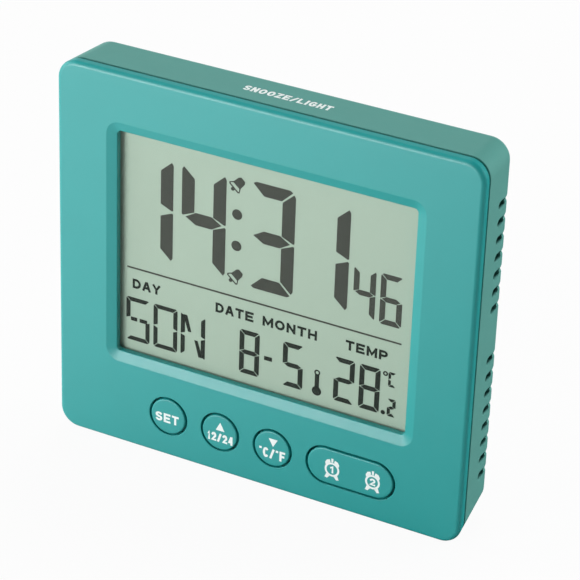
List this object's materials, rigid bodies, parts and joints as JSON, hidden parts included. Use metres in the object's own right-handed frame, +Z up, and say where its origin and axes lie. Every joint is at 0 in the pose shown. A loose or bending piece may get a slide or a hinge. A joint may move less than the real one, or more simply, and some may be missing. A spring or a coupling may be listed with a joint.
{
  "type": "digital table clock",
  "caption": "Thin table clock with a bevelled display window, front keys, side vents and a rear battery box that is also its foot.",
  "frame": {"origin": "centre of the clock's footprint, on the surface that it stands on", "axes": "+X to the clock's right as its reader sees it, +Y from the face to the back, +Z up"},
  "size_m": [0.095, 0.0232, 0.0865],
  "materials": {
    "face_plastic": "satin teal moulding",
    "rear_plastic": "satin grey-teal moulding",
    "clear_lens": "clear, polished",
    "polariser": "grey-green film",
    "display_glass": "clear, polished",
    "light_guide": "clear, polished",
    "white_plastic": "satin white",
    "zebra_rubber": "matt",
    "keypad_rubber": "matt",
    "carbon": "matt",
    "board_laminate": "satin solder mask",
    "black_resin": "satin black",
    "red_sleeve": "satin red",
    "steel": "bright plated",
    "brass": "bright",
    "cell_can": "printed sleeve, satin"
  },
  "bodies": {
    "case": {"front_bezel": "face_plastic", "rear_case": "rear_plastic", "window_lens": "clear_lens", "front_polariser": "polariser", "rear_polariser": "polariser", "front_glass": "display_glass", "rear_glass": "display_glass", "light_guide": "light_guide", "reflector": "white_plastic", "display_frame": "white_plastic", "backlight_led": "white_plastic", "zebra_strip": "zebra_rubber", "rubber_keypad": "keypad_rubber", "main_board": "board_laminate", "chip_resin": "black_resin", "temperature_bead": "black_resin", "capacitor_1": "black_resin", "capacitor_2": "black_resin", "crystal": "steel", "touch_electrode": "brass", "touch_leaf": "brass", "buzzer_disc": "brass", "buzzer_ceramic": "white_plastic", "buzzer_lead_red": "red_sleeve", "buzzer_lead_black": "black_resin", "cell_lower": "cell_can", "cell_upper": "cell_can", "bridge_contact": "steel", "positive_contact": "steel", "negative_contact": "steel", "lower_spring": "steel", "upper_spring": "steel", "case_screw_1": "steel", "board_screw_1": "steel", "case_screw_2": "steel", "board_screw_2": "steel", "case_screw_3": "steel", "board_screw_3": "steel", "case_screw_4": "steel", "board_screw_4": "steel"},
    "set_key": {"set_button": "face_plastic", "set_pill": "carbon"},
    "up_key": {"up_button": "face_plastic", "up_pill": "carbon"},
    "down_key": {"down_button": "face_plastic", "down_pill": "carbon"},
    "alarm_key": {"alarm_rocker": "face_plastic", "alarm_1_pill": "carbon", "alarm_2_pill": "carbon"},
    "door": {"battery_door": "rear_plastic", "battery_latch": "rear_plastic"}
  },
  "joints": [
    {"name": "set_press", "type": "slide", "parent": "case", "child": "set_key", "axis": [0, 1, 0], "range_m": [0, 0.0008], "stiffness_N_per_m": 1600, "deforming": ["rubber_keypad"]},
    {"name": "up_press", "type": "slide", "parent": "case", "child": "up_key", "axis": [0, 1, 0], "range_m": [0, 0.0008], "stiffness_N_per_m": 1600, "deforming": ["rubber_keypad"]},
    {"name": "down_press", "type": "slide", "parent": "case", "child": "down_key", "axis": [0, 1, 0], "range_m": [0, 0.0008], "stiffness_N_per_m": 1600, "deforming": ["rubber_keypad"]},
    {"name": "alarm_rock", "type": "hinge", "parent": "case", "child": "alarm_key", "pos_m": [0.0224, -0.00813, 0.00985], "axis": [0, 0, 1], "range_deg": [-3.5, 3.5], "stiffness_Nm_per_rad": 0.2, "deforming": ["rubber_keypad"]},
    {"name": "door_hinge", "type": "hinge", "parent": "case", "child": "door", "pos_m": [0, 0.01082, 0.0029], "axis": [-1, 0, 0], "range_deg": [0, 90], "deforming": ["battery_latch"]}
  ]
}
